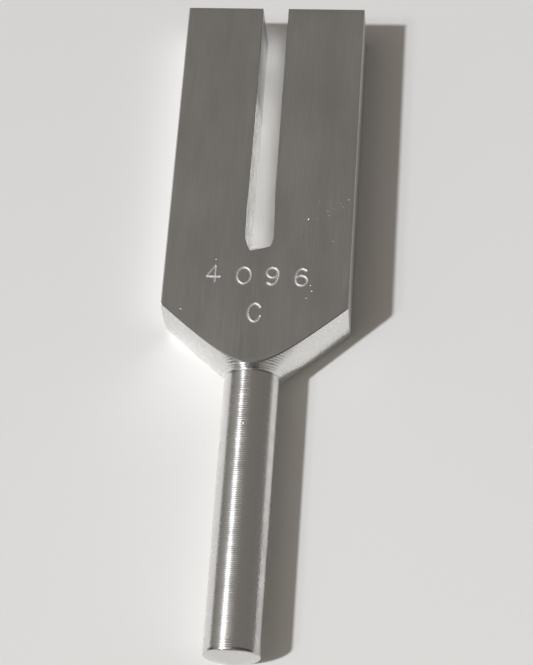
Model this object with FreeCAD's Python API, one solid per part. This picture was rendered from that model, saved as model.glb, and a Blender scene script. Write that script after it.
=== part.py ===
import FreeCAD, Part
import math
import os; os.makedirs("parts", exist_ok=True)

# A tuning fork lying on its back.  Millimetres.
# X runs across the two tines, +Y runs from the handle to the tine tips, +Z is up.
# The origin is on the back face, in the middle of the whole fork's length and width.
# The fork is two pieces of aluminium: the forked head and the round handle set in it.

# ---- driving dimensions: the head, sawn and turned from flat bar
HEAD_WIDTH = 26.4
HEAD_THICKNESS = 9.3
HEAD_LENGTH = 58.4
CONE_HALF_ANGLE = 47.7
EDGE_BREAK = 0.15

# ---- driving dimensions: the slot that parts the tines
SLOT_WIDTH = 3.9
SLOT_OFFSET = -0.13
SLOT_DEPTH = 40.2
SLOT_FLOOR_RISE = 0.84
SLOT_CORNER_RADIUS = 0.6
LEFT_SLANT_WIDTH = 0.75
LEFT_SLANT_LENGTH = 2.2
RIGHT_BELLY_WIDTH = 0.22
RIGHT_BELLY_LENGTH = 8.0

# ---- driving dimensions: the handle, turned from round bar
HANDLE_DIAMETER = 7.8
HANDLE_LENGTH = 40.8
FOOT_CONE_HEIGHT = 1.1
NECK_CHAMFER = 0.15

# ---- driving dimensions: the joint hidden inside the neck
SPIGOT_DIAMETER = 5.0
SPIGOT_LENGTH = 9.0
SPIGOT_CHAMFER = 0.4
SPIGOT_CLEARANCE = 0.02
SOCKET_END_GAP = 0.4

# ---- driving dimensions: the pitch marks punched in the front face
MARK_HEIGHT = 2.6
MARK_PITCH = 4.14
MARK_WIDTH = 0.34
MARK_DEPTH = 0.14
NUMBER_ABOVE_NECK = 13.9
NOTE_ABOVE_NECK = 8.2

# ---- values that follow from the ones above
OVERALL_LENGTH = HEAD_LENGTH + HANDLE_LENGTH
FOOT_Y = -OVERALL_LENGTH / 2
NECK_Y = FOOT_Y + HANDLE_LENGTH
TIP_Y = NECK_Y + HEAD_LENGTH
AXIS_Z = HEAD_THICKNESS / 2
HANDLE_RADIUS = HANDLE_DIAMETER / 2
CONE_SLOPE = math.tan(math.radians(CONE_HALF_ANGLE))
SLOT_FLOOR_Y = TIP_Y - SLOT_DEPTH
SPIGOT_RADIUS = SPIGOT_DIAMETER / 2
SOCKET_RADIUS = SPIGOT_RADIUS + SPIGOT_CLEARANCE
SOCKET_DEPTH = SPIGOT_LENGTH + SOCKET_END_GAP
MARK_HALF = MARK_HEIGHT / 2
PUNCH_RADIUS = (MARK_WIDTH ** 2 / 4 + MARK_DEPTH ** 2) / (2 * MARK_DEPTH)
PUNCH_Z = HEAD_THICKNESS + PUNCH_RADIUS - MARK_DEPTH


def turned(profile):
    """Spin a list of (radius, y) points once round the handle's axis."""
    points = [FreeCAD.Vector(r, y, AXIS_Z) for r, y in profile]
    wire = Part.makePolygon(points + [points[0]])
    axis_point = FreeCAD.Vector(0, 0, AXIS_Z)
    solid = Part.Face(wire).revolve(axis_point, FreeCAD.Vector(0, 1, 0), 360)
    return solid


def cone_blank():
    """The turned end: a cone from the neck out past the bar's corners, then the full bar."""
    corner = math.hypot(HEAD_WIDTH / 2, HEAD_THICKNESS / 2) + 1.0
    cone_end = NECK_Y + (corner - HANDLE_RADIUS) / CONE_SLOPE
    neck_radius = HANDLE_RADIUS - NECK_CHAMFER
    profile = [(0, NECK_Y), (neck_radius, NECK_Y)]
    profile.append((HANDLE_RADIUS + NECK_CHAMFER * CONE_SLOPE, NECK_Y + NECK_CHAMFER))
    profile.append((corner, cone_end))
    profile.append((corner, TIP_Y))
    profile.append((0, TIP_Y))
    return turned(profile)


def slot_cutter():
    """A sawn slot whose closed end was filed by hand: slanted floor, one slanted corner, one belly."""
    left = SLOT_OFFSET - SLOT_WIDTH / 2
    right = SLOT_OFFSET + SLOT_WIDTH / 2
    low = SLOT_FLOOR_Y - SLOT_FLOOR_RISE / 2
    high = SLOT_FLOOR_Y + SLOT_FLOOR_RISE / 2
    past_tips = TIP_Y + 1.0
    belly = right + RIGHT_BELLY_WIDTH
    corners = [(left, past_tips), (left, low + LEFT_SLANT_LENGTH), (left + LEFT_SLANT_WIDTH, low)]
    corners += [(belly, high), (belly, high + RIGHT_BELLY_LENGTH / 3)]
    corners += [(right, high + RIGHT_BELLY_LENGTH), (right, past_tips)]
    points = [FreeCAD.Vector(x, y, -1.0) for x, y in corners]
    wire = Part.makePolygon(points + [points[0]])
    prism = Part.Face(wire).extrude(FreeCAD.Vector(0, 0, HEAD_THICKNESS + 2.0))
    uprights = []
    for edge in prism.Edges:
        box = edge.BoundBox
        if box.XLength < 1e-6 and box.YLength < 1e-6 and box.YMax < TIP_Y:
            uprights.append(edge)
    return prism.makeFillet(SLOT_CORNER_RADIUS, uprights)


def broken_edges(head):
    """Take the sharpness off every outer edge of the slotted head."""
    outer = []
    for edge in head.Edges:
        box = edge.BoundBox
        on_flat = box.ZLength < 1e-6 and (abs(box.ZMin) < 1e-6 or abs(box.ZMin - HEAD_THICKNESS) < 1e-6)
        at_tip = box.YLength < 1e-6 and abs(box.YMin - TIP_Y) < 1e-6
        if on_flat or at_tip:
            outer.append(edge)
    return head.makeChamfer(EDGE_BREAK, outer)


def socket_cutter():
    """The blind hole, in the small end of the cone, that takes the handle's spigot."""
    start = FreeCAD.Vector(0, NECK_Y - 1.0, AXIS_Z)
    return Part.makeCylinder(SOCKET_RADIUS, SOCKET_DEPTH + 1.0, start, FreeCAD.Vector(0, 1, 0))


def straight_stroke(x1, y1, x2, y2):
    """One straight groove with round ends, as a solid to cut away."""
    start = FreeCAD.Vector(x1, y1, PUNCH_Z)
    end = FreeCAD.Vector(x2, y2, PUNCH_Z)
    run = end.sub(start)
    bar = Part.makeCylinder(PUNCH_RADIUS, run.Length, start, run)
    near = Part.makeSphere(PUNCH_RADIUS, start)
    far = Part.makeSphere(PUNCH_RADIUS, end)
    return [bar, near, far]


def curved_stroke(points, closed):
    """One curved groove along a smooth line through the points."""
    track = [FreeCAD.Vector(x, y, PUNCH_Z) for x, y in points]
    curve = Part.BSplineCurve()
    curve.interpolate(Points=track, PeriodicFlag=closed)
    path = Part.Wire([curve.toShape()])
    first = curve.value(curve.FirstParameter)
    heading = curve.tangent(curve.FirstParameter)[0]
    section = Part.Wire([Part.makeCircle(PUNCH_RADIUS, first, heading)])
    tube = path.makePipeShell([section], True, False)
    if closed:
        return [tube]
    last = curve.value(curve.LastParameter)
    return [tube, Part.makeSphere(PUNCH_RADIUS, first), Part.makeSphere(PUNCH_RADIUS, last)]


def placed(points, x, y):
    """Scale a mark drawn round its own centre, 2 units high, and move it to its place."""
    return [(px * MARK_HALF + x, py * MARK_HALF + y) for px, py in points]


def figure_four(x, y):
    """A four: a sloping stroke, a bar and an upright, each struck straight."""
    points = placed([(-0.04, 1.12), (-0.85, -0.18), (0.77, -0.18), (0.08, 1.12), (0.11, -0.82)], x, y)
    slope_top, left_end, right_end, upright_top, upright_foot = points
    strokes = straight_stroke(*slope_top, *left_end)
    strokes += straight_stroke(*left_end, *right_end)
    strokes += straight_stroke(*upright_top, *upright_foot)
    return strokes


def figure_nought(x, y):
    """A nought: one closed oval."""
    ring = [(-0.75, 0.0), (-0.54, 0.68), (0.0, 0.96), (0.54, 0.68)]
    ring += [(0.75, 0.0), (0.54, -0.68), (0.0, -0.96), (-0.54, -0.68)]
    return curved_stroke(placed(ring, x, y), True)


def figure_nine(x, y):
    """A nine: one open stroke, from inside the bowl round and down to the tail."""
    hook = [(0.25, -0.17), (-0.19, -0.17), (-0.55, 0.35), (-0.08, 1.0), (0.57, 0.46)]
    hook += [(0.6, -0.19), (0.32, -0.73), (-0.19, -1.02), (-0.62, -0.73)]
    return curved_stroke(placed(hook, x, y), False)


def figure_six(x, y):
    """A six: one open stroke, from the top down and round into the bowl."""
    hook = [(0.69, 0.75), (0.15, 1.02), (-0.32, 0.73), (-0.6, 0.19), (-0.58, -0.38)]
    hook += [(0.0, -1.0), (0.63, -0.35), (0.23, 0.2), (-0.23, 0.17)]
    return curved_stroke(placed(hook, x, y), False)


def letter_c(x, y):
    """A letter C: one open bow."""
    bow = [(0.64, 0.64), (0.38, 0.95), (-0.04, 1.05), (-0.48, 0.69), (-0.66, 0.0)]
    bow += [(-0.48, -0.69), (-0.02, -1.05), (0.46, -0.85), (0.66, -0.38)]
    return curved_stroke(placed(bow, x, y), False)


def pitch_marks():
    """The pitch number, and below it the note letter, as grooves to cut."""
    number_y = NECK_Y + NUMBER_ABOVE_NECK
    note_y = NECK_Y + NOTE_ABOVE_NECK
    first_x = 0.2 - 1.5 * MARK_PITCH
    strokes = figure_four(first_x, number_y + 0.2)
    strokes += figure_nought(first_x + MARK_PITCH, number_y + 0.2)
    strokes += figure_nine(first_x + 2 * MARK_PITCH, number_y + 0.2)
    strokes += figure_six(first_x + 3 * MARK_PITCH, number_y + 0.2)
    strokes += letter_c(0.02, note_y)
    return strokes


def make_head():
    """The forked head: flat bar turned to a cone, slotted, edges broken, drilled and marked."""
    bar_start = FreeCAD.Vector(-HEAD_WIDTH / 2, NECK_Y, 0)
    bar = Part.makeBox(HEAD_WIDTH, HEAD_LENGTH, HEAD_THICKNESS, bar_start)
    head = bar.common(cone_blank())
    head = head.cut(slot_cutter())
    head = broken_edges(head)
    head = head.cut(socket_cutter())
    for stroke in pitch_marks():
        head = head.cut(stroke)
    return head.Solids[0]


def make_handle():
    """The handle: round bar with a low cone at its foot and a spigot at its neck."""
    rim = HANDLE_RADIUS - EDGE_BREAK
    foot_rim_y = FOOT_Y + FOOT_CONE_HEIGHT
    spigot_end = NECK_Y + SPIGOT_LENGTH
    profile = [(0, FOOT_Y), (rim, foot_rim_y)]
    profile.append((HANDLE_RADIUS, foot_rim_y + EDGE_BREAK))
    profile.append((HANDLE_RADIUS, NECK_Y - NECK_CHAMFER))
    profile.append((HANDLE_RADIUS - NECK_CHAMFER, NECK_Y))
    profile.append((SPIGOT_RADIUS, NECK_Y))
    profile.append((SPIGOT_RADIUS, spigot_end - SPIGOT_CHAMFER))
    profile.append((SPIGOT_RADIUS - SPIGOT_CHAMFER, spigot_end))
    profile.append((0, spigot_end))
    return turned(profile)


make_head().exportStep("parts/fork_head.step")
make_handle().exportStep("parts/handle.step")
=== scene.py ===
# %% [markdown]
# # A tuning fork in aluminium, lying on a pale table
#
# The real thing is two pieces of aluminium.  The head was sawn and turned from flat bar:
# two square tines, a solid yoke, and a cone where the lathe cut the bar down to the neck.
# The handle is a round rod set into that neck.  Everything below is in the frame of the
# solid model: metres, +Y from the handle to the tine tips, +Z up out of the marked face.

# %% Load the solid model
import math

import bmesh
import bpy
import numpy as np
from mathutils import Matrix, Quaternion, Vector


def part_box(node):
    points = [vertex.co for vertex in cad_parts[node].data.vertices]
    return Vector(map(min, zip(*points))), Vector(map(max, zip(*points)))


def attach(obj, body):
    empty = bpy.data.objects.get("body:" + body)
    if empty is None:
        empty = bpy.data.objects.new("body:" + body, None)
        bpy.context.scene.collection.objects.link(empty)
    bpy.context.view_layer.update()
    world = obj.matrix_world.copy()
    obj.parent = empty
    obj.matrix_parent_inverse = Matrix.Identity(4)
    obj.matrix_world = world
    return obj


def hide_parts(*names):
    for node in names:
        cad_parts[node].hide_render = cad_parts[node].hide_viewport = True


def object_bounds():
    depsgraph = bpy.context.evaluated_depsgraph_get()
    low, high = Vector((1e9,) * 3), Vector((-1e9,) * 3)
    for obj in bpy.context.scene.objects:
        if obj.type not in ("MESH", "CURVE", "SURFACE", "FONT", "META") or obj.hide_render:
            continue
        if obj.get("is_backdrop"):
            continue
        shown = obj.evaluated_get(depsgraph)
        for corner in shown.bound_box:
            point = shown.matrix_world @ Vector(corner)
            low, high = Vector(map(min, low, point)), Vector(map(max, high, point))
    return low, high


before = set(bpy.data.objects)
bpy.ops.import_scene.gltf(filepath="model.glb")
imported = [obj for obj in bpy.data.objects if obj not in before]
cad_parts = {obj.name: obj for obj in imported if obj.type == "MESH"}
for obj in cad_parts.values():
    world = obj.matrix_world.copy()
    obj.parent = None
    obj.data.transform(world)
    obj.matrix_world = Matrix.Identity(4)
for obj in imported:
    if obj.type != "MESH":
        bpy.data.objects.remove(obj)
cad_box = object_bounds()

MM = 0.001
scene = bpy.context.scene
print("nodes:", ", ".join(sorted(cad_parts)))
print("box, mm:", [[round(v / MM, 2) for v in corner] for corner in cad_box])

# %% [markdown]
# ## Sizes
#
# A visual model should never disagree with its solid.  So the big sizes are not typed in
# again: they are read from the boxes of the two solids.  Only what a box can't tell, such
# as the cone's angle and the shape of the slot, is written here, in millimetres.

# %% Sizes of the head and the handle
head_low, head_high = [np.array(corner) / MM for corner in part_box("fork_head")]
handle_low, handle_high = [np.array(corner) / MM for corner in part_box("handle")]

HALF_WIDTH = (head_high[0] - head_low[0]) / 2
THICKNESS = head_high[2] - head_low[2]
AXIS_Z = THICKNESS / 2
NECK_Y = head_low[1]
TIP_Y = head_high[1]
HANDLE_RADIUS = (handle_high[0] - handle_low[0]) / 2
FOOT_Y = handle_low[1]
SPIGOT_END_Y = handle_high[1]

CONE_HALF_ANGLE = math.radians(47.7)
CONE_SLOPE = math.tan(CONE_HALF_ANGLE)
# how far the sharp edges are broken: everywhere, and along the V where the cone meets the faces
EDGE_BREAK = 0.05
V_EDGE_BREAK = 0.14
# x of the slot's two walls above its belly, and y of the middle of its closed end
SLOT_LEFT = -2.08
SLOT_RIGHT = 1.82
SLOT_FLOOR_Y = TIP_Y - 40.2
SPIGOT_RADIUS = 2.5
SPIGOT_CHAMFER = 0.4
SOCKET_RADIUS = 2.52
SOCKET_END_Y = SPIGOT_END_Y + 0.4
SOCKET_CHAMFER = 0.1
NECK_CHAMFER = 0.15
print(f"head {2 * HALF_WIDTH:.1f} x {TIP_Y - NECK_Y:.1f} x {THICKNESS:.1f} mm")
print(f"handle {2 * HANDLE_RADIUS:.1f} x {NECK_Y - FOOT_Y:.1f} mm")

# %% [markdown]
# ## From arrays to a mesh
#
# Each piece here is a sheet of points worked out with numpy.  A grid of point numbers
# becomes four-sided faces by taking each number with its neighbours to the right, above
# and diagonally.  Doing this for the whole grid at once is fast, and it keeps the shape
# in one formula that can be read, where a loop over points would hide it.

# %% Helpers that turn grids into faces and meshes
def grid_faces(ids, closed=False):
    """Four corners for each cell of a grid of point numbers, joined into a tube if closed."""
    if closed:
        ids = np.concatenate([ids, ids[:, :1]], axis=1)
    corners = [ids[:-1, :-1], ids[:-1, 1:], ids[1:, 1:], ids[1:, :-1]]
    return np.stack(corners, axis=-1)


def blend(low, high, value):
    """A smooth step: 0 below low, 1 above high, and an S-shaped rise between them."""
    t = np.clip((value - low) / (high - low), 0.0, 1.0)
    return t * t * (3 - 2 * t)


def graded(start, end, coarse, fine, spans):
    """Places from start to end, a fine step apart inside the spans and a coarse step elsewhere.

    The number of steps so far is the running sum of 1 / step; the places are where that
    sum passes whole numbers.
    """
    ruler = np.linspace(start, end, 6001)
    closeness = np.zeros_like(ruler)
    for low, high in spans:
        inside = blend(low - 2 * coarse, low, ruler) * blend(-high - 2 * coarse, -high, -ruler)
        closeness = np.maximum(closeness, inside)
    density = 1 / coarse + closeness * (1 / fine - 1 / coarse)
    steps = np.concatenate([[0.0], np.cumsum((density[1:] + density[:-1]) / 2 * np.diff(ruler))])
    count = max(1, int(round(steps[-1])))
    return np.interp(np.linspace(0, steps[-1], count + 1), steps, ruler)


def outward_and_smooth(mesh, crease=math.radians(12)):
    """Turns every face outward, then shades smoothly except across a crease."""
    work = bmesh.new()
    work.from_mesh(mesh)
    bmesh.ops.recalc_face_normals(work, faces=work.faces)
    open_edges = sum(1 for edge in work.edges if not edge.is_manifold)
    volume = work.calc_volume() / MM**3
    work.to_mesh(mesh)
    work.free()
    mesh.polygons.foreach_set("use_smooth", np.ones(len(mesh.polygons), bool))
    mesh.set_sharp_from_angle(angle=crease)
    mesh.update()
    count = len(mesh.polygons)
    print(f"{mesh.name}: {count} faces, {open_edges} open edges, {volume:.0f} cubic mm")


class Shell:
    """Collects points and faces, each face with the number of its finish."""

    def __init__(self):
        self.points = []
        self.count = 0
        self.faces = []
        self.finishes = []

    def add(self, points):
        """Stores the points and gives back their numbers, in the same shape."""
        points = np.asarray(points, float)
        ids = self.count + np.arange(points[..., 0].size).reshape(points.shape[:-1])
        self.points.append(points.reshape(-1, 3))
        self.count += ids.size
        return ids

    def cover(self, faces, finish):
        """Stores the faces with one finish, or with a finish for each."""
        faces = faces.reshape(-1, faces.shape[-1])
        self.faces += faces.tolist()
        self.finishes += list(np.broadcast_to(np.asarray(finish).reshape(-1), (len(faces),)))

    def piece(self, name, materials):
        """Makes one object of all points that a face uses, with material number = finish."""
        points = np.concatenate(self.points) * MM
        corners = np.concatenate([np.asarray(f) for f in self.faces])
        used, fresh = np.unique(corners, return_inverse=True)
        ends = np.cumsum([len(f) for f in self.faces])[:-1]
        faces = [f.tolist() for f in np.split(fresh, ends)]
        mesh = bpy.data.meshes.new(name)
        mesh.from_pydata(points[used].tolist(), [], faces)
        for material in materials:
            mesh.materials.append(material)
        mesh.polygons.foreach_set("material_index", np.asarray(self.finishes, np.int32))
        outward_and_smooth(mesh)
        item = bpy.data.objects.new(name, mesh)
        scene.collection.objects.link(item)
        return item


print("helpers ready")

# %% [markdown]
# ## The punched marks
#
# A maker strikes the pitch in hertz, and the note's letter, with steel punches.  A punch
# pushes the metal aside, so each stroke is a rounded valley with a low lip along it.
# They could be cut with a Boolean, but a valley is simply a height that depends on how
# far a point is from the middle of the stroke, so the face itself can carry them.

# %% The strokes, as smooth lines through a few points
# height of a character, and from one figure's middle to the next, in mm
MARK_HEIGHT = 2.6
MARK_PITCH = 4.14
NUMBER_Y = NECK_Y + 13.85
NOTE_Y = NECK_Y + 8.2
FIRST_X = 0.2 - 1.5 * MARK_PITCH

# points of each stroke, where 1 is half a character's height
STROKES = {
    "four_slope": [(0.02, 1.04), (-0.38, 0.45), (-0.78, -0.14)],
    "four_bar": [(-0.80, -0.17), (-0.12, -0.19), (0.58, -0.18)],
    "four_upright": [(0.08, 1.06), (0.1, 0.2), (0.11, -0.82)],
    "nought": [(-0.75, 0.0), (-0.54, 0.68), (0.0, 0.96), (0.54, 0.68), (0.75, 0.0),
               (0.54, -0.68), (0.0, -0.96), (-0.54, -0.68), (-0.75, 0.0)],
    "nine": [(0.60, 0.24), (0.36, -0.08), (-0.04, -0.17), (-0.44, 0.0), (-0.63, 0.40),
             (-0.46, 0.82), (0.0, 1.0), (0.45, 0.82), (0.65, 0.34), (0.60, -0.22),
             (0.38, -0.74), (-0.02, -1.0), (-0.50, -0.82)],
    "six": [(0.50, 0.82), (0.02, 1.0), (-0.38, 0.74), (-0.60, 0.22), (-0.65, -0.34),
            (-0.45, -0.82), (0.0, -1.0), (0.46, -0.82), (0.63, -0.40), (0.44, 0.0),
            (0.04, 0.17), (-0.36, 0.08), (-0.60, -0.24)],
    "letter": [(0.64, 0.64), (0.38, 0.95), (-0.04, 1.05), (-0.48, 0.69), (-0.66, 0.0),
               (-0.48, -0.69), (-0.02, -1.05), (0.46, -0.85), (0.66, -0.38)],
}
# centre x, centre y, depth at the start and at the end of the stroke, in mm
STRUCK = {
    "four_slope": (FIRST_X, NUMBER_Y, 0.05, 0.06),
    "four_bar": (FIRST_X, NUMBER_Y, 0.14, 0.15),
    "four_upright": (FIRST_X, NUMBER_Y, 0.10, 0.05),
    "nought": (FIRST_X + MARK_PITCH + 0.06, NUMBER_Y, 0.11, 0.11),
    "nine": (FIRST_X + 2 * MARK_PITCH - 0.06, NUMBER_Y, 0.10, 0.15),
    "six": (FIRST_X + 3 * MARK_PITCH - 0.08, NUMBER_Y - 0.05, 0.13, 0.10),
    "letter": (0.02, NOTE_Y - 0.05, 0.13, 0.13),
}


def smooth_line(points, samples=28):
    """A Catmull-Rom curve: between two points it leaves along the line joining their neighbours."""
    p = np.array(points, float)
    closed = bool(np.allclose(p[0], p[-1]))
    before = p[-2] if closed else 2 * p[0] - p[1]
    after = p[1] if closed else 2 * p[-1] - p[-2]
    p = np.vstack([before, p, after])
    t = np.linspace(0, 1, samples, endpoint=False)[None, :, None]
    a, b, c, d = [p[k:len(p) - 3 + k, None, :] for k in range(4)]
    squared = 2 * a - 5 * b + 4 * c - d
    cubed = 3 * b - a - 3 * c + d
    curve = 0.5 * (2 * b + (c - a) * t + squared * t**2 + cubed * t**3)
    return np.vstack([curve.reshape(-1, 2), p[-2]])


def stroke_lines():
    """Each stroke's middle line on the face, with its depth all along it."""
    lines = []
    for name, points in STROKES.items():
        x, y, depth_start, depth_end = STRUCK[name]
        line = smooth_line(points) * MARK_HEIGHT / 2 + [x, y]
        lines.append((line, np.linspace(depth_start, depth_end, len(line))))
    return lines


MARK_LINES = stroke_lines()
print("strokes:", len(MARK_LINES), "points:", sum(len(line) for line, _ in MARK_LINES))

# %% How high the marked face stands at any place
# half a stroke's width where it is FULL_DEPTH deep; shallower strokes are narrower
GROOVE_HALF = 0.15
FULL_DEPTH = 0.13
LIP_HEIGHT = 0.012
LIP_WIDTH = 0.07


def marked_height(x, y):
    """Height above the flat face, and whether the place is inside a stroke.

    In a stroke the height is minus depth * (1 - (distance / half width)^2), and just past
    the stroke's edge there is a low bell-shaped lip.
    """
    height = np.zeros_like(x)
    in_groove = np.zeros(x.shape, bool)
    for line, depth in MARK_LINES:
        low, high = line.min(axis=0) - 0.5, line.max(axis=0) + 0.5
        near = (x > low[0]) & (x < high[0]) & (y > low[1]) & (y < high[1])
        gap = np.hypot(x[near][:, None] - line[:, 0], y[near][:, None] - line[:, 1])
        nearest = gap.argmin(axis=1)
        distance = gap[np.arange(len(gap)), nearest]
        half = GROOVE_HALF * (0.55 + 0.45 * depth[nearest] / FULL_DEPTH)
        valley = -depth[nearest] * np.clip(1 - (distance / half) ** 2, 0, None)
        lip = LIP_HEIGHT * np.exp(-(((distance - 1.3 * half) / LIP_WIDTH) ** 2))
        beside = np.where(height[near] < 0, height[near], np.maximum(height[near], lip))
        height[near] = np.where(distance < half, np.minimum(height[near], valley), beside)
        in_groove[near] |= distance < half * 0.97
    return height, in_groove


BAR_Y = NUMBER_Y - 0.18 * MARK_HEIGHT / 2
sample_height, _ = marked_height(np.array([0.0, FIRST_X]), np.array([NOTE_Y, BAR_Y]))
print("height at the letter's middle and on the four's bar, mm:", sample_height.round(3))

# %% [markdown]
# ## The head
#
# The head is one closed sleeve.  Its section is a rectangle with slightly rounded corners,
# carried from the neck to the tips.  Below the shoulders the lathe has cut the bar to a
# cone, so there each column of points runs down a straight line towards the neck until it
# meets the socket.  Where that cone meets the flats it leaves the curved V seen on the
# face.  It is a hyperbola: a plane cutting a cone beside its axis.

# %% The section of the bar, one column of points for each place round it
SECTION_ROUND = 0.14
SIDE_POINTS = 9
# the face lies a lip's height low, so that the lips stay inside the solid's box
FRONT_Z = THICKNESS / 2 - LIP_HEIGHT
BACK_Z = -THICKNESS / 2
FACE_EDGE = HALF_WIDTH - SECTION_ROUND
SLOT_LEFT_COLUMN = SLOT_LEFT - EDGE_BREAK
BELLY = 0.23
SLOT_RIGHT_LOW = SLOT_RIGHT + BELLY
SLOT_RIGHT_COLUMN = SLOT_RIGHT_LOW + EDGE_BREAK
# how far apart columns and rows are, in mm, at the marks and elsewhere
FINE = 0.06
COARSE = 0.6
BACK_COARSE = 0.8
# where the marks are along x: the four, the nought and the nine together, and the six
mark_spans = [(FIRST_X - 1.3, FIRST_X + 1.2),
              (FIRST_X + MARK_PITCH - 1.2, FIRST_X + 2 * MARK_PITCH + 1.1),
              (FIRST_X + 3 * MARK_PITCH - 1.1, FIRST_X + 3 * MARK_PITCH + 1.2)]


def front_columns():
    """x of each column across the marked face, and which of them are the slot's two edges."""
    left = graded(-FACE_EDGE, SLOT_LEFT_COLUMN, COARSE, FINE, mark_spans)
    letter_span = [(SLOT_LEFT, SLOT_RIGHT_LOW)]
    middle = graded(SLOT_LEFT_COLUMN, SLOT_RIGHT_COLUMN, COARSE, FINE, letter_span)
    right = graded(SLOT_RIGHT_COLUMN, FACE_EDGE, COARSE, FINE, mark_spans)
    x = np.concatenate([left, middle[1:], right[1:]])
    return x, len(left) - 1, len(left) + len(middle) - 2


def back_columns(front_x, first, last):
    """The same across the back, coarser beside the slot, where nothing is punched."""
    left = graded(-FACE_EDGE, SLOT_LEFT_COLUMN, BACK_COARSE, FINE, [])
    right = graded(SLOT_RIGHT_COLUMN, FACE_EDGE, BACK_COARSE, FINE, [])
    x = np.concatenate([left, front_x[first + 1:last], right])
    return x, len(left) - 1, len(left) + last - first - 1


def section():
    """Once round the bar from the front left corner.

    Gives x, z above the axis, the columns of the slot's edges, and where the faces are.
    """
    front, front_first, front_last = front_columns()
    back, back_first, back_last = back_columns(front, front_first, front_last)
    turn = np.radians(np.linspace(0, 90, 5))[1:-1]
    corner_x = FACE_EDGE + SECTION_ROUND * np.sin(turn)
    above = FRONT_Z - SECTION_ROUND * (1 - np.cos(turn))
    below = BACK_Z + SECTION_ROUND * (1 - np.cos(turn))
    side_z = np.linspace(FRONT_Z - SECTION_ROUND, BACK_Z + SECTION_ROUND, SIDE_POINTS)
    side_x = np.full(SIDE_POINTS, HALF_WIDTH)
    x = np.concatenate([front, corner_x, side_x, corner_x[::-1],
                        back[::-1], -corner_x, -side_x, -corner_x[::-1]])
    z = np.concatenate([np.full(len(front), FRONT_Z), above, side_z, below[::-1],
                        np.full(len(back), BACK_Z), below, side_z[::-1], above[::-1]])
    back_start = len(front) + len(turn) + SIDE_POINTS + len(turn)
    turned_back = back_start + len(back) - 1
    edges = {"front": (front_first, front_last),
             "back": (turned_back - back_last, turned_back - back_first)}
    return x, z, edges, len(front), back_start, len(back)


section_x, section_z, slot_columns, front_count, back_start, back_count = section()
print("columns round the bar:", len(section_x), "of which on the marked face:", front_count)

# %% [markdown]
# ### The slot
#
# A slot like this is sawn first and then opened and tuned with a file, and this one shows
# it: the floor slopes, the left corner is a slanted flat, and the right wall has a belly.
# Three straight file cuts, blended where they meet, give the floor's height across it.

# %% The slot's walls and floor
FLOOR_LOW = SLOT_FLOOR_Y - 0.42
FLOOR_HIGH = SLOT_FLOOR_Y + 0.42
SLANT_WIDTH = 0.75
SLANT_STEEPNESS = 2.9
STEEP_WIDTH = 0.3
STEEPNESS = 4.0
FILE_SOFTNESS = 0.35


def soft_max(a, b, softness):
    """The larger of two values, rounded off where they cross."""
    return (a + b + np.sqrt((a - b) ** 2 + softness**2)) / 2


def floor_y(x):
    """y of the slot's closed end: the highest of a slanted corner, the floor and a steep corner."""
    bend = SLOT_LEFT + SLANT_WIDTH
    slope = (FLOOR_HIGH - FLOOR_LOW) / (SLOT_RIGHT_LOW - bend)
    slanted = FLOOR_LOW - (x - bend) * SLANT_STEEPNESS
    floor = FLOOR_LOW + (x - bend) * slope
    steep = FLOOR_HIGH + (x - SLOT_RIGHT_LOW + STEEP_WIDTH) * STEEPNESS
    return soft_max(soft_max(slanted, floor, FILE_SOFTNESS), steep, FILE_SOFTNESS)


def left_wall(y):
    """x of the left wall: a slight hollow low down, and a little further in towards the tips."""
    return SLOT_LEFT - 0.05 * np.exp(-(((y - 16) / 3) ** 2)) + 0.10 * blend(18, 34, y)


def right_wall(y):
    """x of the right wall: a belly beside the floor that runs out into the straight wall."""
    return SLOT_RIGHT + BELLY * (1 - blend(12.0, 18.5, y))


CORNER_LEFT_Y = float(floor_y(SLOT_LEFT))
CORNER_RIGHT_Y = float(floor_y(SLOT_RIGHT_LOW))
print(f"slot floor from y {FLOOR_LOW:.2f} to {FLOOR_HIGH:.2f}")
print(f"its corners at y {CORNER_LEFT_Y:.2f} and {CORNER_RIGHT_Y:.2f}")

# %% The rows of the sleeve, from the socket to the tine tips
# the flat ring round the rod: the radius of its inner row, and where the cone starts
NECK_RING_RADIUS = HANDLE_RADIUS - 0.12
CONE_START_RADIUS = HANDLE_RADIUS + 0.04
CONE_ROWS = 26
YOKE_ROWS = 13
TINE_ROWS = 36
ROUND_STEPS = np.linspace(0, 1, 5)[1:-1]
BELOW_NUMBER_Y = NUMBER_Y - 2.5
ABOVE_NUMBER_Y = NUMBER_Y + 2.0
TOP_ROW_Y = TIP_Y - EDGE_BREAK


def bend_between(start, corner, end):
    """Points of a quadratic curve from start to end that leans towards the sharp corner."""
    t = ROUND_STEPS.reshape((-1,) + (1,) * start.ndim)
    return (1 - t) ** 2 * start + 2 * t * (1 - t) * corner + t**2 * end


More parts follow.
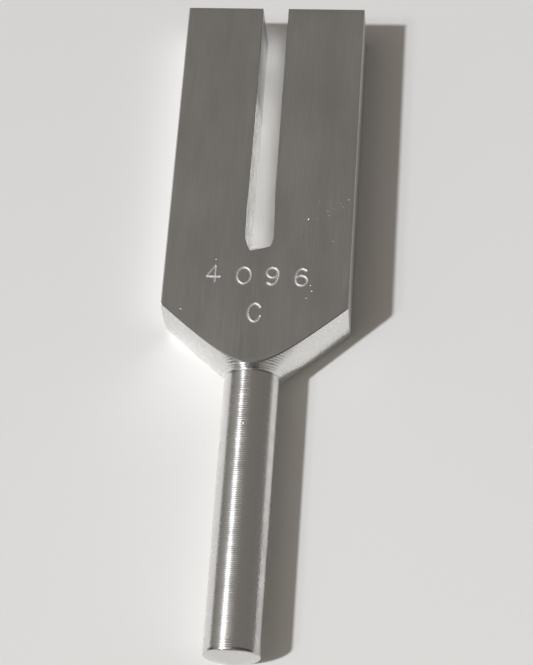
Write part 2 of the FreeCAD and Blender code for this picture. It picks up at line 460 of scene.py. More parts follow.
def cone_rows():
    """Rows of the socket, rows of the cone with its V edge, and y where the faces start.

    On the cone radius = HANDLE_RADIUS + CONE_SLOPE * (y - NECK_Y).
    """
    far = np.hypot(section_x, section_z)
    out_x, out_z = section_x / far, section_z / far

    def ring(radius, y):
        """A row with every column at one radius."""
        return np.stack([out_x * radius, np.full_like(out_x, y), out_z * radius], axis=-1)

    socket = [ring(SOCKET_RADIUS, SOCKET_END_Y),
              ring(SOCKET_RADIUS, NECK_Y + SOCKET_CHAMFER),
              ring(SOCKET_RADIUS + SOCKET_CHAMFER, NECK_Y),
              ring(NECK_RING_RADIUS, NECK_Y)]
    below_edge = far - V_EDGE_BREAK * math.sin(CONE_HALF_ANGLE)
    share = np.linspace(0, 1, CONE_ROWS)[:, None]
    radius = CONE_START_RADIUS + share * (below_edge - CONE_START_RADIUS)
    cone_y = NECK_Y + (radius - HANDLE_RADIUS) / CONE_SLOPE
    cone = np.stack([out_x * radius, cone_y, out_z * radius], axis=-1)
    edge = flat_row(NECK_Y + (far - HANDLE_RADIUS) / CONE_SLOPE)
    above_edge = edge + [0, V_EDGE_BREAK, 0]
    bent = bend_between(cone[-1], edge, above_edge)
    return socket, list(cone) + list(bent), above_edge[:, 1]


def flat_row(y):
    """A row of the bar's full section, at one y or at a y for each column."""
    return np.stack([section_x, np.broadcast_to(y, section_x.shape), section_z], axis=-1)


def marked_rows(start_y):
    """Rows past the letter and the number, close together at the marks."""
    lowest = start_y.min()
    letter = graded(lowest, BELOW_NUMBER_Y, COARSE, FINE, [(NOTE_Y - 1.6, NOTE_Y + 1.6)])
    shares = (letter - lowest) / (BELOW_NUMBER_Y - lowest)
    number = graded(BELOW_NUMBER_Y, ABOVE_NUMBER_Y, 0.5, FINE, [(NUMBER_Y - 1.5, NUMBER_Y + 1.5)])
    rows = [flat_row(start_y + share * (BELOW_NUMBER_Y - start_y)) for share in shares]
    return rows + [flat_row(y) for y in number[1:]]


def slot_rows():
    """Rows that bend to the slot's closed end, and rows up the tines, which follow its walls."""
    left_side = section_x < (SLOT_LEFT + SLOT_RIGHT) / 2
    corner_y = np.where(left_side, CORNER_LEFT_Y, CORNER_RIGHT_Y)
    in_slot = (section_x > SLOT_LEFT_COLUMN + 1e-6) & (section_x < SLOT_RIGHT_COLUMN - 1e-6)
    span = (SLOT_RIGHT_LOW - SLOT_LEFT) / (SLOT_RIGHT_COLUMN - SLOT_LEFT_COLUMN)
    floor_x = SLOT_LEFT + (section_x - SLOT_LEFT_COLUMN) * span
    slope = (floor_y(floor_x + 0.01) - floor_y(floor_x - 0.01)) / 0.02
    steep = np.hypot(1, slope)
    end_x = np.where(in_slot, floor_x + EDGE_BREAK * slope / steep, section_x)
    end_y = np.where(in_slot, floor_y(floor_x) - EDGE_BREAK / steep, corner_y)
    closed_end = []
    for share in np.linspace(0, 1, YOKE_ROWS + 1)[1:]:
        x = section_x + share**2 * (end_x - section_x)
        y = ABOVE_NUMBER_Y + share * (end_y - ABOVE_NUMBER_Y)
        closed_end.append(np.stack([x, y, section_z], axis=-1))

    hold = np.where(left_side, (section_x + FACE_EDGE) / (SLOT_LEFT_COLUMN + FACE_EDGE),
                    (FACE_EDGE - section_x) / (FACE_EDGE - SLOT_RIGHT_COLUMN))
    hold = np.clip(hold, 0, 1)
    tines = []
    for share in np.linspace(0, 1, TINE_ROWS + 1)[1:]:
        y = corner_y + share * (TOP_ROW_Y - corner_y)
        drift = np.where(left_side, left_wall(y) - SLOT_LEFT, right_wall(y) - SLOT_RIGHT_LOW)
        tines.append(np.stack([section_x + hold * drift, y, section_z], axis=-1))
    return closed_end, tines


def sleeve_rows():
    """x, y and z above the axis for every row and column, and the rows where regions start."""
    socket, cone, start_y = cone_rows()
    marked = marked_rows(start_y)
    closed_end, tines = slot_rows()
    cone_end = len(socket) + len(cone)
    slot_row = cone_end + len(marked) + len(closed_end) - 1
    return np.array(socket + cone + marked + closed_end + tines), len(socket), cone_end, slot_row


sleeve, socket_rows, cone_end, slot_row = sleeve_rows()
print("sleeve of", sleeve.shape[0], "rows and", sleeve.shape[1], "columns")
print("the slot starts at row", slot_row)

# %% The head's mesh, with its finishes by number
FACE, GROOVE, CONE, SIDE, SLOT, TIP, SOCKET, EDGE = range(8)
WALL_ROWS = 8
TIP_BREAK = 0.85 * EDGE_BREAK


def slot_path(ids, first, last):
    """Point numbers down the left wall, across the floor and up the right wall of the slot.

    first and last are the columns of its left and right edge; on the back they count downwards.
    """
    step = 1 if last > first else -1
    floor = ids[slot_row, first:last + step:step]
    down = ids[slot_row + 1:, first][::-1]
    up = ids[slot_row + 1:, last]
    return np.concatenate([down, floor, up])


def slot_edge(points):
    """The sharp edge beside the path: each point moved EDGE_BREAK into the slot."""
    x, y = points[:, 0], points[:, 1]
    run_x, run_y = np.gradient(x), np.gradient(y)
    length = np.hypot(run_x, run_y)
    into = np.stack([-run_y / length, run_x / length], axis=-1)
    return points[:, :2] + EDGE_BREAK * into


def cover_sleeve(shell, ids, grooved):
    """The sleeve's faces, each with its finish, but for those across the open slot."""
    cells = grid_faces(ids, closed=True)
    finish = np.full(cells.shape[:2], FACE)
    finish[:socket_rows] = SOCKET
    finish[socket_rows:cone_end] = CONE
    finish[cone_end - len(ROUND_STEPS) - 1:cone_end, :front_count - 1] = EDGE
    column = np.arange(cells.shape[1])
    right_side = (column >= front_count) & (column < back_start)
    left_side = column >= back_start + back_count
    finish[cone_end:, right_side | left_side] = SIDE
    cut = grooved[:-1, :-1] | grooved[1:, 1:]
    finish[cone_end:, :front_count - 1][cut] = GROOVE
    keep = np.ones(cells.shape[:2], bool)
    for first, last in slot_columns.values():
        keep[slot_row:, first:last] = False
    shell.cover(cells[keep], finish[keep])
    shell.cover(ids[:1, ::-1], SOCKET)


def cover_slot_edge(shell, ids, flat, side):
    """The slot's broken edge, front or back: its rows of point numbers, and its last points."""
    first, last = slot_columns[side] if side == "front" else slot_columns[side][::-1]
    path = slot_path(ids, first, last)
    level = FRONT_Z if side == "front" else BACK_Z
    start = flat[path] * [1, 1, 0] + [0, 0, level]
    edge = np.column_stack([slot_edge(start), np.full(len(path), level)])
    end = edge - [0, 0, math.copysign(EDGE_BREAK, level)]
    bend = shell.add(bend_between(flat[path], edge, end))
    rows = np.vstack([path[None], bend, shell.add(end)[None]])
    shell.cover(grid_faces(rows), EDGE if side == "front" else FACE)
    return rows, end


def close_tip(shell, loop):
    """Breaks the edge round one tine's end and closes it with a flat face."""
    here = np.concatenate(shell.points)[loop]
    run = np.roll(here, -1, axis=0) - np.roll(here, 1, axis=0)
    outward = np.stack([run[:, 2], np.zeros(len(run)), -run[:, 0]], axis=-1)
    outward /= np.linalg.norm(outward, axis=1, keepdims=True)
    outward *= np.sign(((here - here.mean(axis=0)) * outward).sum())
    corner = here * [1, 0, 1] + [0, TIP_Y, 0]
    inset = corner - TIP_BREAK * outward
    bend = shell.add(bend_between(here, corner, inset))
    rows = np.vstack([loop[None], bend, shell.add(inset)[None]])
    shell.cover(grid_faces(rows, closed=True), FACE)
    shell.cover(rows[-1:], TIP)


def make_head(materials):
    """The closed head: sleeve, broken slot edges, slot wall, and the two tine tips."""
    shell = Shell()
    points = sleeve.copy()
    front = slice(0, front_count)
    lift, grooved = marked_height(points[cone_end:, front, 0], points[cone_end:, front, 1])
    points[cone_end:, front, 2] += lift
    ids = shell.add(points)
    cover_sleeve(shell, ids, grooved)

    flat = points.reshape(-1, 3)
    front_ids, front_end = cover_slot_edge(shell, ids, flat, "front")
    back_ids, back_end = cover_slot_edge(shell, ids, flat, "back")
    share = np.linspace(0, 1, WALL_ROWS + 1)[1:-1, None, None]
    wall = shell.add(front_end + share * (back_end - front_end))
    wall = np.vstack([front_ids[-1:], wall, back_ids[-1:]])
    shell.cover(grid_faces(wall), SLOT)

    front_left, front_right = slot_columns["front"]
    back_right, back_left = slot_columns["back"]
    top = ids[-1]
    left_inner, right_inner = [
        np.concatenate([front_ids[1:, k], wall[1:-1, k], back_ids[1:, k][::-1]]) for k in (0, -1)]
    close_tip(shell, np.concatenate([top[:front_left + 1], left_inner, top[back_left:]]))
    close_tip(shell, np.concatenate([top[front_right:back_right + 1], right_inner[::-1]]))
    for block in shell.points:
        block[:, 2] += AXIS_Z
    return shell.piece("fork_head_metal", materials)


print("head finishes:", "face, groove, cone, side, slot, tip, socket, edge")

# %% [markdown]
# ## The handle
#
# A round rod turned in a lathe, so its whole shape is one profile spun about an axis: the
# spigot that is pressed into the head, a shoulder, the plain shank, and a shallow cone at
# the foot.  A profile is easier to read and to change than a stack of cylinders, and the
# spun surface closes by itself.

# %% The handle's profile, spun about the axis
FOOT_CONE = 1.1
RIM = 0.24
# radius of the last ring before the foot's pole
POLE_RADIUS = 0.12
AROUND = 160
TURNED, FOOT, SPIGOT = range(3)


def handle_profile():
    """Radius and y from the spigot's end to the foot, and the finish below each point."""
    shank = np.linspace(NECK_Y - NECK_CHAMFER, FOOT_Y + FOOT_CONE + RIM, 40)
    radius = [SPIGOT_RADIUS - SPIGOT_CHAMFER, SPIGOT_RADIUS, SPIGOT_RADIUS,
              HANDLE_RADIUS - NECK_CHAMFER]
    y = [SPIGOT_END_Y, SPIGOT_END_Y - SPIGOT_CHAMFER, NECK_Y, NECK_Y]
    radius += [HANDLE_RADIUS] * len(shank)
    y += list(shank)
    rim_out = HANDLE_RADIUS - 0.3 * RIM
    foot = np.linspace(HANDLE_RADIUS - RIM, POLE_RADIUS, 12)
    radius += [rim_out] + list(foot)
    y += [FOOT_Y + FOOT_CONE + 0.3 * RIM] + list(FOOT_Y + foot / HANDLE_RADIUS * FOOT_CONE)
    finish = np.full(len(y) - 1, TURNED)
    finish[:3] = SPIGOT
    finish[-len(foot):] = FOOT
    return np.array(radius), np.array(y), finish


def make_handle(materials):
    """Points at (radius * sin a, y, radius * cos a) as a goes once round, closed by two poles."""
    radius, y, finish = handle_profile()
    angle = np.linspace(0, 2 * math.pi, AROUND, endpoint=False)
    x = radius[:, None] * np.sin(angle)
    z = radius[:, None] * np.cos(angle) + AXIS_Z
    shell = Shell()
    ids = shell.add(np.stack([x, np.broadcast_to(y[:, None], x.shape), z], axis=-1))
    shell.cover(grid_faces(ids, closed=True), np.repeat(finish, AROUND))
    for ring, tip_y, number in ((ids[0], SPIGOT_END_Y, SPIGOT), (ids[-1], FOOT_Y, FOOT)):
        pole = shell.add(np.array([[0.0, tip_y, AXIS_Z]]))
        fan = np.stack([np.broadcast_to(pole, ring.shape), ring, np.roll(ring, -1)], axis=-1)
        shell.cover(fan, number)
    return shell.piece("handle_rod", materials)


print("handle profile has", len(handle_profile()[0]), "points")

# %% [markdown]
# ## The finishes
#
# It is one metal all over, and what tells the surfaces apart is the tool that made them.
# A tool leaves grooves far too fine to see one by one, and they spread a highlight across
# themselves: a turned rod shows one long streak of light down its length.  In a shader
# that is anisotropy, with the tangent along the direction in which the highlight spreads.
# Finer streaks, nicks and smears go on top as bump and as small changes of roughness.

# %% Helpers for the shader trees
METAL = (0.870, 0.868, 0.855, 1.0)


class Tree:
    """A small wrapper that adds a node, fills its sockets, and links what is already a socket."""

    def __init__(self, owner):
        owner.use_nodes = True
        self.nodes = owner.node_tree.nodes
        self.links = owner.node_tree.links
        self.shader = self.nodes.get("Principled BSDF")

    def put(self, socket, value):
        """Links the value if it is a socket, and sets it if it is plain."""
        if isinstance(value, bpy.types.NodeSocket):
            self.links.new(value, socket)
        else:
            socket.default_value = value

    def shade(self, name, value):
        """The same, for an input of the shader."""
        self.put(self.shader.inputs[name], value)

    def add(self, kind, inputs=None, output=0, **settings):
        """A new node with its inputs and settings filled; gives back one of its outputs."""
        node = self.nodes.new("ShaderNode" + kind)
        for name, value in settings.items():
            setattr(node, name, value)
        for name, value in (inputs or {}).items():
            self.put(node.inputs[name], value)
        return node.outputs[output]

    def math(self, operation, *values):
        """One step of arithmetic."""
        return self.add("Math", dict(enumerate(values)), operation=operation)

    def vector(self, operation, *values, output=0):
        """One step of arithmetic on vectors."""
        return self.add("VectorMath", dict(enumerate(values)), output, operation=operation)

    def plus(self, total, *values):
        """All the values added up."""
        for value in values:
            total = self.math("ADD", total, value)
        return total

    def times(self, product, *values):
        """All the values multiplied together."""
        for value in values:
            product = self.math("MULTIPLY", product, value)
        return product

    def ramp(self, value, low, high, to_low, to_high):
        """A straight ramp: to_low at low, to_high at high, and level beyond them."""
        values = {"Value": value, "From Min": low, "From Max": high,
                  "To Min": to_low, "To Max": to_high}
        return self.add("MapRange", values, output="Result")

    def mix(self, share, first, second, clamp=True):
        """A colour between two others."""
        return self.add("Mix", {0: share, 6: first, 7: second}, output=2,
                        data_type="RGBA", clamp_factor=clamp)

    def place(self):
        """Where a point lies on the object, in metres."""
        return self.add("TexCoord", output="Object")

    def axis(self, letter):
        """The X, Y or Z of that place."""
        return self.add("SeparateXYZ", {0: self.place()}, output=letter)

    def along(self, letter, low, high, to_low, to_high):
        """A ramp along X, Y or Z, between two places in mm."""
        return self.ramp(self.axis(letter), low * MM, high * MM, to_low, to_high)

    def distance(self, point):
        """How far that place is from a point, in metres."""
        return self.vector("DISTANCE", self.place(), point, output="Value")

    def to_world(self, x=0.0, y=0.0, z=0.0):
        """A direction on the object, as a direction in the world."""
        vector = self.add("CombineXYZ", {"X": x, "Y": y, "Z": z})
        return self.add("VectorTransform", {"Vector": vector},
                        vector_type="VECTOR", convert_from="OBJECT", convert_to="WORLD")

    def noise_at(self, vector, detail, roughness):
        """Noise from 0 to 1, with lumps about one unit of the vector apart."""
        values = {"Vector": vector, "Scale": 1.0, "Detail": detail, "Roughness": roughness}
        return self.add("TexNoise", values, output="Fac")

    def noise(self, per_mm, detail=2.0, roughness=0.5):
        """Noise over the object, with so many lumps to the millimetre along each axis."""
        scale = [count / MM for count in per_mm]
        stretched = self.vector("MULTIPLY", self.place(), scale)
        return self.noise_at(stretched, detail, roughness)

    def noise_along(self, value, detail=2.0, roughness=0.5):
        """Noise that changes only with one value."""
        return self.noise_at(self.add("CombineXYZ", {"X": value}), detail, roughness)

    def ringed(self, place, pitch, slope):
        """A normal tipped to and fro along y, as by feed marks that are one pitch apart, in mm.

        Between two marks the flank goes from -0.5 to 0.5, and the normal is tipped by
        flank * steepness.  Noise shifts the marks, so that no two are quite alike.
        """
        turn = self.math("DIVIDE", place, pitch * MM)
        wander = self.noise_along(self.times(turn, 0.37))
        unevenness = self.noise((0.5, 0.9, 0.5))
        shift = self.plus(self.times(wander, 0.9), self.times(unevenness, 0.5))
        flank = self.math("SUBTRACT", self.math("FRACT", self.plus(turn, shift)), 0.5)
        steepness = self.times(self.ramp(wander, 0.3, 0.7, 1.2, 2.6), slope)
        lean = self.to_world(y=self.times(flank, steepness))
        normal = self.add("NewGeometry", output="Normal")
        return self.vector("NORMALIZE", self.vector("ADD", normal, lean))

    def dents(self, places):
        """Height in mm of small round knocks: minus depth in the middle, 0 beyond the radius."""
        total = 0.0
        for x, y, radius, depth in places:
            away = self.distance((x * MM, y * MM, (FRONT_Z + AXIS_Z) * MM))
            total = self.plus(total, self.ramp(away, 0.0, radius * MM, -depth, 0.0))
        return total

    def bump(self, height_mm, normal=None):
        """The normal of a surface raised by so many mm."""
        values = {"Height": height_mm, "Distance": MM, "Strength": 1.0}
        if normal is not None:
            values["Normal"] = normal
        return self.add("Bump", values, output="Normal")


def metal(name, roughness, anisotropy=0.0, tint=METAL):
    """A new material whose shader is bare aluminium, and the tree that finishes it."""
    material = bpy.data.materials.new(name)
    tree = Tree(material)
    tree.shade("Metallic", 1.0)
    tree.shade("Base Color", tint)
    tree.shade("Roughness", roughness)
    tree.shade("Anisotropic", anisotropy)
    material.diffuse_color = tint
    return material, tree


print("shader helpers ready")

# %% [markdown]
# ### Brushed faces
#
# The two wide faces were rubbed lengthwise on abrasive.  The strokes run with the tines,
# so the tangent points across them.  Noise stretched sixty to one along the tines gives
# the strokes; a broad, soft noise gives the uneven pressure of the hand.

# %% Brushed faces, and the sides, rolled smooth
# knocks in the marked face: x, y, radius and depth, in mm
KNOCKS = [(-5.9, 7.4, 0.14, 0.05), (7.7, 3.7, 0.12, 0.05), (7.9, 2.8, 0.18, 0.06),
          (7.2, 1.7, 0.16, 0.05), (-5.4, -1.3, 0.12, 0.02), (0.0, 1.8, 0.12, 0.02),
          (6.8, 14.1, 0.17, 0.07), (8.2, 17.0, 0.12, 0.03), (9.7, 14.8, 0.14, 0.04),
          (12.4, 17.4, 0.16, 0.05), (11.6, 16.3, 0.12, 0.04), (6.0, 12.1, 0.10, 0.03),
          (-10.3, -0.5, 0.26, 0.06), (9.8, 34.0, 0.12, 0.03)]
# finer pits, most of them round this place, in metres; depth in mm
PITS_MIDDLE = (0.0095, 0.0155, 0.0093)
PIT_DEPTH = 0.010


def brushed(name, tangent, roughness, depth, per_mm, dull, bright, knocks=(), edge=False):
    """Long strokes, broad smears, knocks and fine pits.

    The colour goes from dull to bright as strokes plus smears rise.  With edge, the strip
    beside the marked face is rougher and painted paler as a highlight, and all is painted paler
    where x is larger.
    """
    material, tree = metal(name, roughness, anisotropy=0.7)
    strokes = tree.noise(per_mm, detail=4.0, roughness=0.65)
    smears = tree.noise((0.16, 0.05, 0.16), detail=3.0, roughness=0.6)
    rough = tree.plus(tree.ramp(strokes, 0.3, 0.7, roughness - 0.05, roughness + 0.07),
                      tree.ramp(smears, 0.3, 0.7, -0.03, 0.04))
    tone = tree.ramp(tree.plus(strokes, smears), 0.7, 1.3, 0.0, 1.0)
    if edge:
        # painted highlight: the strip next to the marked face is rougher and painted much paler,
        # for the light its broken edge catches
        rough_strip_painted_highlight = tree.along("Z", THICKNESS - 0.08, THICKNESS - 0.05, 0.0, 0.30)
        rough = tree.plus(rough, rough_strip_painted_highlight)
        # painted light: the right side is painted paler than the left
        right = tree.along("X", -5, 5, 0.0, 2.6)
        tone = tree.plus(tone, tree.plus(right, tree.times(rough_strip_painted_highlight, 5.0)))
    specks = tree.noise((6.0, 6.0, 6.0), detail=1.0)
    least = tree.ramp(tree.distance(PITS_MIDDLE), 1 * MM, 8 * MM, 0.67, 0.79)
    pitted = tree.ramp(tree.math("SUBTRACT", specks, least), 0.0, 0.06, 0.0, 1.0)
    pits = tree.times(pitted, -PIT_DEPTH)
    height = tree.plus(tree.times(strokes, depth), tree.plus(pits, tree.dents(knocks)))
    dull_tint, bright_tint = [(level, 0.996 * level, 0.98 * level, 1.0) for level in (dull, bright)]
    tree.shade("Base Color", tree.mix(tone, dull_tint, bright_tint, clamp=False))
    tree.shade("Roughness", rough)
    tree.shade("Normal", tree.bump(height))
    tree.shade("Tangent", tree.to_world(*tangent))
    return material


face_finish = brushed("brushed_face", (1, 0, 0), 0.36, 0.0025, (9.0, 0.15, 9.0),
                      dull=0.74, bright=0.87, knocks=KNOCKS)
# painted shade: the sides are tinted far darker than the faces, so the left side throws less light
# onto the table
side_finish = brushed("rolled_side", (0, 1, 0), 0.50, 0.0015, (6.0, 0.15, 7.0),
                      dull=0.38, bright=0.50, edge=True)
print("brushed:", face_finish.name, side_finish.name)

# %% [markdown]
# ### Turned cone and handle
#
# The lathe tool runs round the part as it feeds along, so its marks are fine rings.  On
# the rod a ring is a constant y, and on the cone it is a constant distance from the axis.
# Rings spread the light along the rod, so there the tangent is +Y.

# %% Turned finishes
# the dark colour mixed into the rod for its painted shade
PAINTED_ROD_SHADE = (0.05, 0.05, 0.045, 1.0)


def along_axis(tree):
    """y of the place: the ring it is on, on the rod."""
    return tree.axis("Y")


def from_axis(tree):
    """Distance from the handle's axis: the ring it is on, on the cone and on the foot."""
    off = tree.vector("SUBTRACT", tree.place(), (0.0, 0.0, AXIS_Z * MM))
    flat = tree.vector("MULTIPLY", off, (1.0, 0.0, 1.0))
    return tree.vector("LENGTH", flat, output="Value")


def rod_painted_shade(tree, flank, blotches):
    """Painted shade on the rod: a patchy darkening of its flanks that grows towards the foot, and
    thin dark lines at the neck's seam and the foot's rim.

    The lines are darkest at the left and stop at the flanks.
    """
    towards_foot = tree.along("Y", -5, -42, 0.10, 0.26)
    uneven = tree.ramp(blotches, 0.35, 0.65, 0.6, 1.4)
    # painted shade: the flanks that reflect the table are darkened, more towards the foot
    flank_shade = tree.times(flank, towards_foot, uneven)
    left = tree.along("X", -2.4, -1.9, 1.0, 0.0)
    right = tree.along("X", 0.2, 1.2, 0.0, 1.0)
    seam = tree.along("Y", NECK_Y - 0.30, NECK_Y - 0.15, 0.0, 0.75)
    seam = tree.times(seam, tree.math("MULTIPLY_ADD", left, 0.5, 0.55))
    rim_y = FOOT_Y + FOOT_CONE + RIM
    rim = tree.along("Y", rim_y + 0.24, rim_y + 0.08, 0.0, 0.65)
    rim = tree.times(rim, tree.math("MULTIPLY_ADD", tree.plus(left, right), 0.7, 0.3))
    inner = tree.math("SUBTRACT", tree.along("X", -3.2, -2.8, 0.0, 1.0), flank)
    # painted shade: dark lines in the crease at the neck and above the foot's rim, kept off the
    # bright flanks
    lines = tree.times(tree.math("MAXIMUM", seam, rim), tree.math("MAXIMUM", inner, 0.0))
    return tree.math("MAXIMUM", flank_shade, lines)


def turned(name, ring_place, pitch, slope, roughness, anisotropy=0.9, painted_shade_and_wear=False, tint=METAL):
    """Feed marks all the way round, plus faint waves, blotches and nicks.

    A rod with painted shade is darkened on its flanks and along its seam and rim lines, and is
    rougher and scraped towards its foot.
    """
    material, tree = metal(name, roughness, anisotropy, tint)
    place = ring_place(tree)
    fine = tree.noise_along(tree.times(place, 9.0 / MM), detail=3.0, roughness=0.7)
    blotches = tree.noise((0.45, 0.45, 0.45), detail=4.0, roughness=0.6)
    waves = tree.noise((0.8, 1.6, 0.8), detail=3.0, roughness=0.6)
    nicks = tree.noise((3.2, 2.1, 3.2), detail=1.0)
    rough = tree.plus(tree.ramp(fine, 0.3, 0.7, roughness - 0.03, roughness + 0.04),
                      tree.ramp(blotches, 0.3, 0.7, -0.03, 0.04))
    height = tree.plus(tree.times(waves, 0.010), tree.ramp(nicks, 0.74, 0.82, 0.0, -0.012))
    if painted_shade_and_wear:
        flank = tree.plus(tree.along("X", 2.7, 3.2, 0.0, 1.0),
                          tree.along("X", -2.6, -3.0, 0.0, 0.15))
        # painted shade on the flanks and in the seam and rim lines
        tree.shade("Base Color", tree.mix(rod_painted_shade(tree, flank, blotches), METAL, PAINTED_ROD_SHADE))
        scraped = tree.times(flank, tree.along("Y", -20, -40, 0.0, 0.05))
        height = tree.plus(height, tree.times(nicks, scraped))
        rough = tree.plus(rough, tree.along("Y", -10, -45, -0.01, 0.035),
                          tree.along("Y", -9, -18, -0.022, 0.0))
        slope = tree.along("Y", -8, -40, slope, 0.6 * slope)
    tree.shade("Roughness", rough)
    tree.shade("Normal", tree.bump(height, tree.ringed(place, pitch, slope)))
    tree.shade("Tangent", tree.to_world(y=1.0))
    return material


rod_finish = turned("turned_rod", along_axis, 0.27, 0.24, 0.242, anisotropy=0.8, painted_shade_and_wear=True)
cone_finish = turned("turned_cone", from_axis, 0.30, 0.33, 0.27)
FOOT_METAL = (0.78, 0.775, 0.76, 1.0)
foot_finish = turned("faced_foot", from_axis, 0.20, 0.06, 0.30, anisotropy=0.2, tint=FOOT_METAL)
print("turned:", rod_finish.name, cone_finish.name, foot_finish.name)

# %% [markdown]
# ### Filed slot, struck marks, sawn tips and the hidden socket
#
# A file leaves short straight scratches across the slot's walls, and a struck mark is
# metal that was squeezed smooth by the punch, tinted darker than the face.  The
# broken edges of the slot and of the V, on the marked face, are tinted dull and dark.

# %% Filed, struck and hidden finishes
BRIGHT_METAL = (0.96, 0.96, 0.95, 1.0)
STRUCK_METAL = (0.70, 0.698, 0.69, 1.0)
DARK_EDGE_METAL = (0.16, 0.16, 0.15, 1.0)
# the dark colour mixed into the slot's walls as painted shade
PAINTED_SLOT_SHADE = (0.1, 0.1, 0.1, 1.0)
# y above which the slot was left rough, in mm, and how much higher that begins on its right wall
SLOT_ROUGH_Y = 34.5
RIGHT_WALL_LATER = 2.8


def filed(name, tangent, per_mm, roughness, depth, tint=METAL, rougher_above=None):
    """Straight scratches, and patches that were filed more and less.

    Above y = rougher_above, in mm, the walls are rougher and carry painted shade: they are
    darkened, which dims them and the light they throw onto the table.
    """
    material, tree = metal(name, roughness, anisotropy=0.6, tint=tint)
    scratches = tree.noise(per_mm, detail=4.0, roughness=0.6)
    patches = tree.noise((0.5, 0.35, 0.5))
    rough = tree.plus(tree.ramp(scratches, 0.3, 0.7, roughness - 0.06, roughness + 0.08),
                      tree.ramp(patches, 0.3, 0.7, -0.05, 0.06))
    if rougher_above is not None:
        height = tree.axis("Y")
        later = tree.along("X", -1.5, 1.5, 0.0, RIGHT_WALL_LATER * MM)
        step = tree.math("SUBTRACT", height, later)

        def above(place, low, high, change):
            """From 0 at low to change at high, in mm above rougher_above."""
            start, end = (rougher_above + low) * MM, (rougher_above + high) * MM
            return tree.ramp(place, start, end, 0.0, change)

        rough = tree.plus(rough, above(step, -0.3, 0.3, 0.22), above(height, 8, 11, -0.16))
        # painted shade: a dark colour mixed into the walls in steps above rougher_above
        painted_dimming = tree.plus(above(step, 0, 0.6, 0.26), above(height, 3, 8, -0.12),
                          above(height, 11.8, 13.6, 0.45))
        tree.shade("Base Color", tree.mix(painted_dimming, tint, PAINTED_SLOT_SHADE))
    tree.shade("Roughness", rough)
    tree.shade("Normal", tree.bump(tree.times(scratches, depth)))
    tree.shade("Tangent", tree.to_world(*tangent))
    return material


slot_finish = filed("filed_slot", (0, 1, 0), (3.0, 6.0, 0.3), 0.26, 0.0030,
                    tint=BRIGHT_METAL, rougher_above=SLOT_ROUGH_Y)
tip_finish = filed("sawn_tip", (1, 0, 0), (2.0, 5.0, 8.0), 0.40, 0.0030)
socket_finish = filed("bored_socket", (0, 1, 0), (1.0, 6.0, 1.0), 0.45, 0.0020)
spigot_finish = filed("turned_spigot", (0, 1, 0), (1.0, 8.0, 1.0), 0.40, 0.0015)
groove_finish, groove_tree = metal("struck_groove", 0.6, tint=STRUCK_METAL)
grime = groove_tree.noise((6.0, 6.0, 6.0), detail=3.0)
groove_tree.shade("Roughness", groove_tree.ramp(grime, 0.3, 0.7, 0.52, 0.68))
groove_tree.shade("Normal", groove_tree.bump(groove_tree.times(grime, 0.006)))
# the broken edges of the slot and the V are tinted dark
edge_finish, _ = metal("dark_edge", 0.5, tint=DARK_EDGE_METAL)
print("filed and struck:", slot_finish.name, tip_finish.name, groove_finish.name)

# %% [markdown]
# ## Put the two pieces together
#
# Each new piece stands in for one solid and rides on the same body.  The solids stay in
# the model unseen, for physics.

# %% The head and the handle
head_finishes = [face_finish, groove_finish, cone_finish, side_finish,
                 slot_finish, tip_finish, socket_finish, edge_finish]
head = make_head(head_finishes)
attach(head, "root")
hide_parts("fork_head")

rod = make_handle([rod_finish, foot_finish, spigot_finish])
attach(rod, "root")
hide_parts("handle")
print("pieces:", head.name, rod.name)

# %% [markdown]
# ## Table, lamps and surroundings
#
# Metal shows its surroundings more than itself.  A pale table below gives the bright bands
# low on the handle, and a dim room above keeps the flats grey.  One lamp high at the left
# casts the crisp shadow, and a weaker one beside it softens that shadow's outer edge.

# %% The table
TABLE_REACH = 1.5
PAPER = (1.0, 0.985, 0.955)


def make_table():
    """A flat square at z = 0, with painted shade: a little darker towards the tips, and darker far
    to the right in reflections only.
    """
    mesh = bpy.data.meshes.new("table")
    turns = [(-1, -1), (1, -1), (1, 1), (-1, 1)]
    mesh.from_pydata([(x * TABLE_REACH, y * TABLE_REACH, 0) for x, y in turns], [], [(0, 1, 2, 3)])
    material = bpy.data.materials.new("pale_paper")
    tree = Tree(material)
    # painted shade seen only in reflections: the table far to the right is darker to glossy rays
    far_right_painted_shade = tree.along("X", 25, 50, 0.0, 0.7)
    reflected = tree.add("LightPath", output="Is Glossy Ray")
    dim = tree.math("SUBTRACT", 1.0, tree.times(far_right_painted_shade, reflected))
    # painted shade: the paper is a little darker towards the tips
    pale = tree.times(dim, tree.along("Y", -50, 50, 0.81, 0.755))
    tree.shade("Base Color", tree.vector("MULTIPLY", PAPER, pale))
    tree.shade("Roughness", 0.85)
    tree.shade("Specular IOR Level", 0.2)
    mesh.materials.append(material)
    table = bpy.data.objects.new("table", mesh)
    scene.collection.objects.link(table)
    table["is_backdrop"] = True
    return table


print("table:", make_table().name)

# %% Lamps and room
LAMP_COLOUR = (0.968, 0.99, 1.035)
ROOM_COLOUR = (0.172, 0.1595, 0.147, 1.0)
# the ceiling round the lamps is lit too: its direction, and how many times brighter than the rest
GLOW_TOWARDS = (-0.30, -0.31, 0.902)
GLOW = 6.8


def sun(name, towards, strength, width_degrees):
    """A lamp very far away, in the direction given, that looks as wide as the angle given."""
    light = bpy.data.lights.new(name, "SUN")
    light.energy = strength
    light.angle = math.radians(width_degrees)
    light.color = LAMP_COLOUR
    lamp = bpy.data.objects.new(name, light)
    lamp.rotation_mode = "QUATERNION"
    lamp.rotation_quaternion = Vector(towards).normalized().to_track_quat("Z", "Y")
    scene.collection.objects.link(lamp)
    return lamp


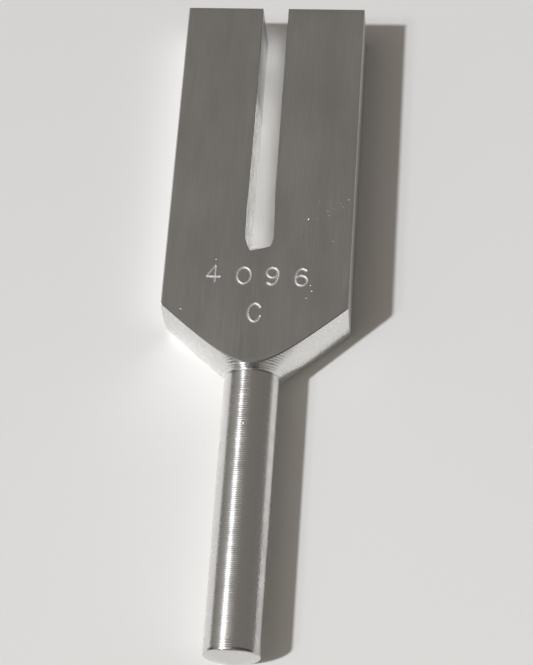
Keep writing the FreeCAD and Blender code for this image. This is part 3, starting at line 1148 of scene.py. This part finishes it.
def make_room():
    """A dim room, brighter to the left and darker low down at the left and near sides.

    Its strength is leftness * (1 - low_left - low_near) + GLOW * nearness^2.
    """
    room = bpy.data.worlds.new("dim_room")
    scene.world = room
    tree = Tree(room)
    direction = tree.add("TexCoord", output="Generated")
    parts = tree.add("SeparateXYZ", {0: direction}).node
    x, y, z = [parts.outputs[letter] for letter in "XYZ"]
    leftness = tree.times(tree.ramp(x, -0.80, -0.25, 1.75, 1.0), tree.ramp(x, 0.0, 1.0, 1.0, 0.88),
                          tree.ramp(x, -0.20, -0.02, 0.94, 1.04))
    low_left = tree.times(tree.ramp(z, 0.50, 0.10, 0.0, 1.0), tree.ramp(x, -0.3, -0.8, 0.0, 0.5))
    low_near = tree.times(tree.ramp(z, 0.70, 0.35, 0.0, 1.0), tree.ramp(y, -0.35, -0.75, 0.0, 0.95),
                          tree.ramp(x, 0.15, 0.40, 1.0, 0.0))
    shade = tree.math("SUBTRACT", 1.0, tree.plus(low_left, low_near))
    facing = tree.vector("DOT_PRODUCT", direction, GLOW_TOWARDS, output="Value")
    nearness = tree.ramp(facing, 0.883, 0.995, 0.0, 1.0)
    glow = tree.math("POWER", nearness, 2.0)
    strength = tree.plus(tree.times(leftness, shade), tree.times(glow, GLOW))
    background = tree.nodes["Background"]
    tree.put(background.inputs["Color"], ROOM_COLOUR)
    tree.put(background.inputs["Strength"], strength)
    return room


sun("key_lamp", (-7.85, -4.7, 12.3), 2.27, 3.3)
sun("second_lamp", (-9.6, -6.4, 12.3), 0.27, 4.0)
# mirror bounces stay sharp, so that light thrown from wall to wall of the slot reaches the table,
# and one stray sample can't count for more than nine
scene.cycles.blur_glossy = 0.0
scene.cycles.sample_clamp_indirect = 9.0
print("lamps: key_lamp, second_lamp; room:", make_room().name)

# %% [markdown]
# ## Camera
#
# It stands above the fork and a little to the right of the handle, with a long lens, and
# is turned ten degrees about its own line of sight, so the fork lies at a slant.

# %% The camera
camera_place = Vector((28.773, -115.297, 256.856)) * MM
camera_aim = Vector((1.52, -1.52, 4.65)) * MM
lens = bpy.data.cameras.new("camera")
lens.lens = 106.61
lens.sensor_width = 36
lens.clip_start = 0.01
camera = bpy.data.objects.new("camera", lens)
scene.collection.objects.link(camera)
camera.location = camera_place
camera.rotation_mode = "QUATERNION"
look = (camera_aim - camera_place).to_track_quat("-Z", "Y")
camera.rotation_quaternion = look @ Quaternion((0, 0, 1), math.radians(-10.614))
scene.camera = camera
scene.view_settings.view_transform = "Standard"
distance = (camera_aim - camera_place).length / MM
print("camera stands", round(distance, 1), "mm from what it looks at")

# %% [markdown]
# ## The sizes of both boxes
#
# The box of the looks must lie inside the box of the solids, so the sizes of both are printed.

# %% Print the sizes of both boxes
visual_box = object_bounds()
boxes = {"cad": [list(map(float, corner)) for corner in cad_box],
         "visual": [list(map(float, corner)) for corner in visual_box]}
for name, box in boxes.items():
    print(name, "size, mm:", np.round(np.ptp(np.array(box), axis=0) / MM, 2).tolist())
